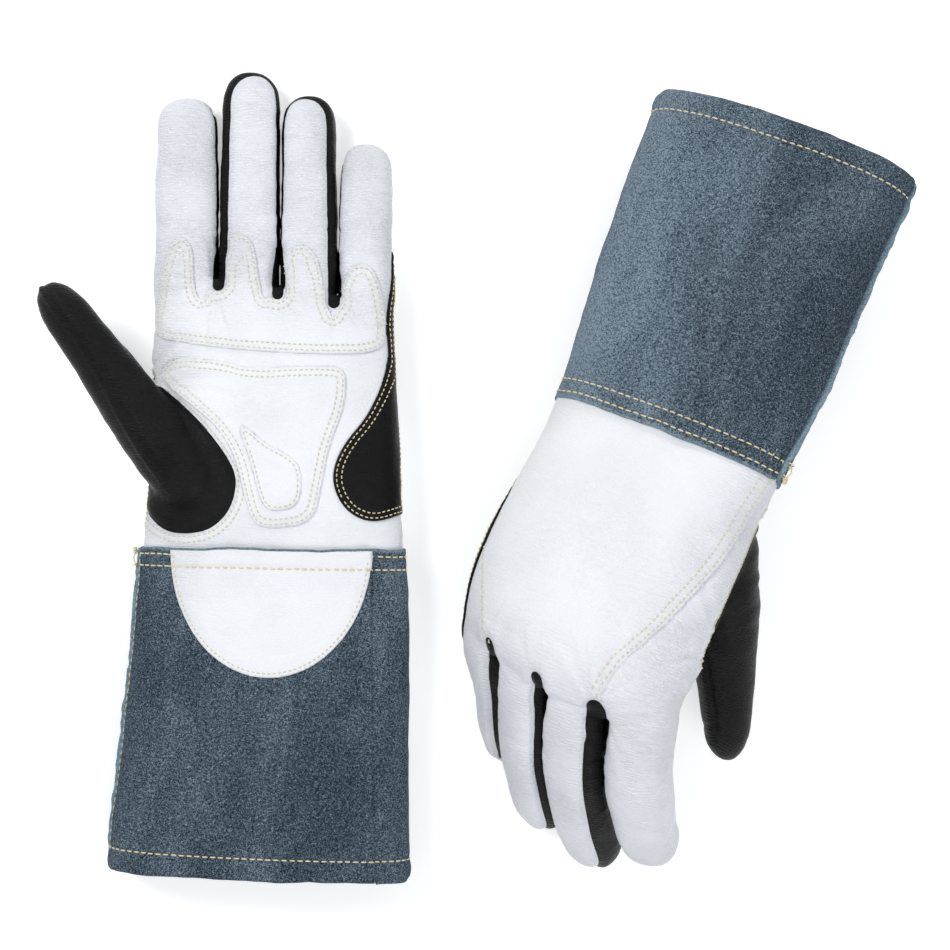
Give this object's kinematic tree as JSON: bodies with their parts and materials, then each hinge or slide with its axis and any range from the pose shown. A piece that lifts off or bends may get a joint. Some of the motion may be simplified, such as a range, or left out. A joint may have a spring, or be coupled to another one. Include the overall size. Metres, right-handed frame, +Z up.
{
  "type": "welding gloves",
  "caption": "Pair of gauntlet welding gloves: white goatskin hands, black fourchettes and thumbs, slate suede cuffs; one palm up, one half closed.",
  "frame": {"origin": "centre of the pair's bounding box, on the surface that both gloves lie on", "axes": "+Z up from that surface; +Y from the left glove's cuff to its fingertips; +X from the left glove to the right glove"},
  "size_m": [0.3899, 0.3626, 0.0945],
  "materials": {
    "white_goatskin": "matt, fine grain",
    "black_goatskin": "satin, fine grain",
    "cuff_suede": "napped suede",
    "welt_leather": "raw split"
  },
  "bodies": {
    "right_glove": {"right_back_panel": "white_goatskin", "right_palm_panel": "white_goatskin", "right_index_middle_fourchette": "black_goatskin", "right_middle_ring_fourchette": "black_goatskin", "right_ring_little_fourchette": "black_goatskin", "right_thumb_back": "black_goatskin", "right_thumb_front": "black_goatskin", "right_heel_patch": "black_goatskin", "right_upper_palm_patch": "white_goatskin", "right_lower_palm_patch": "white_goatskin", "right_centre_patch": "white_goatskin", "right_cuff_back": "cuff_suede", "right_cuff_palm": "cuff_suede", "right_wrist_patch": "white_goatskin", "right_cuff_welt": "welt_leather"},
    "left_glove": {"left_back_panel": "white_goatskin", "left_palm_panel": "white_goatskin", "left_index_middle_fourchette": "black_goatskin", "left_middle_ring_fourchette": "black_goatskin", "left_ring_little_fourchette": "black_goatskin", "left_thumb_back": "black_goatskin", "left_thumb_front": "black_goatskin", "left_heel_patch": "black_goatskin", "left_upper_palm_patch": "white_goatskin", "left_lower_palm_patch": "white_goatskin", "left_centre_patch": "white_goatskin", "left_cuff_back": "cuff_suede", "left_cuff_palm": "cuff_suede", "left_wrist_patch": "white_goatskin", "left_cuff_welt": "welt_leather"}
  },
  "joints": [
    {"name": "left_glove_lift", "type": "slide", "parent": "right_glove", "child": "left_glove", "axis": [0, 0, 1], "range_m": [0, 0.15]}
  ]
}
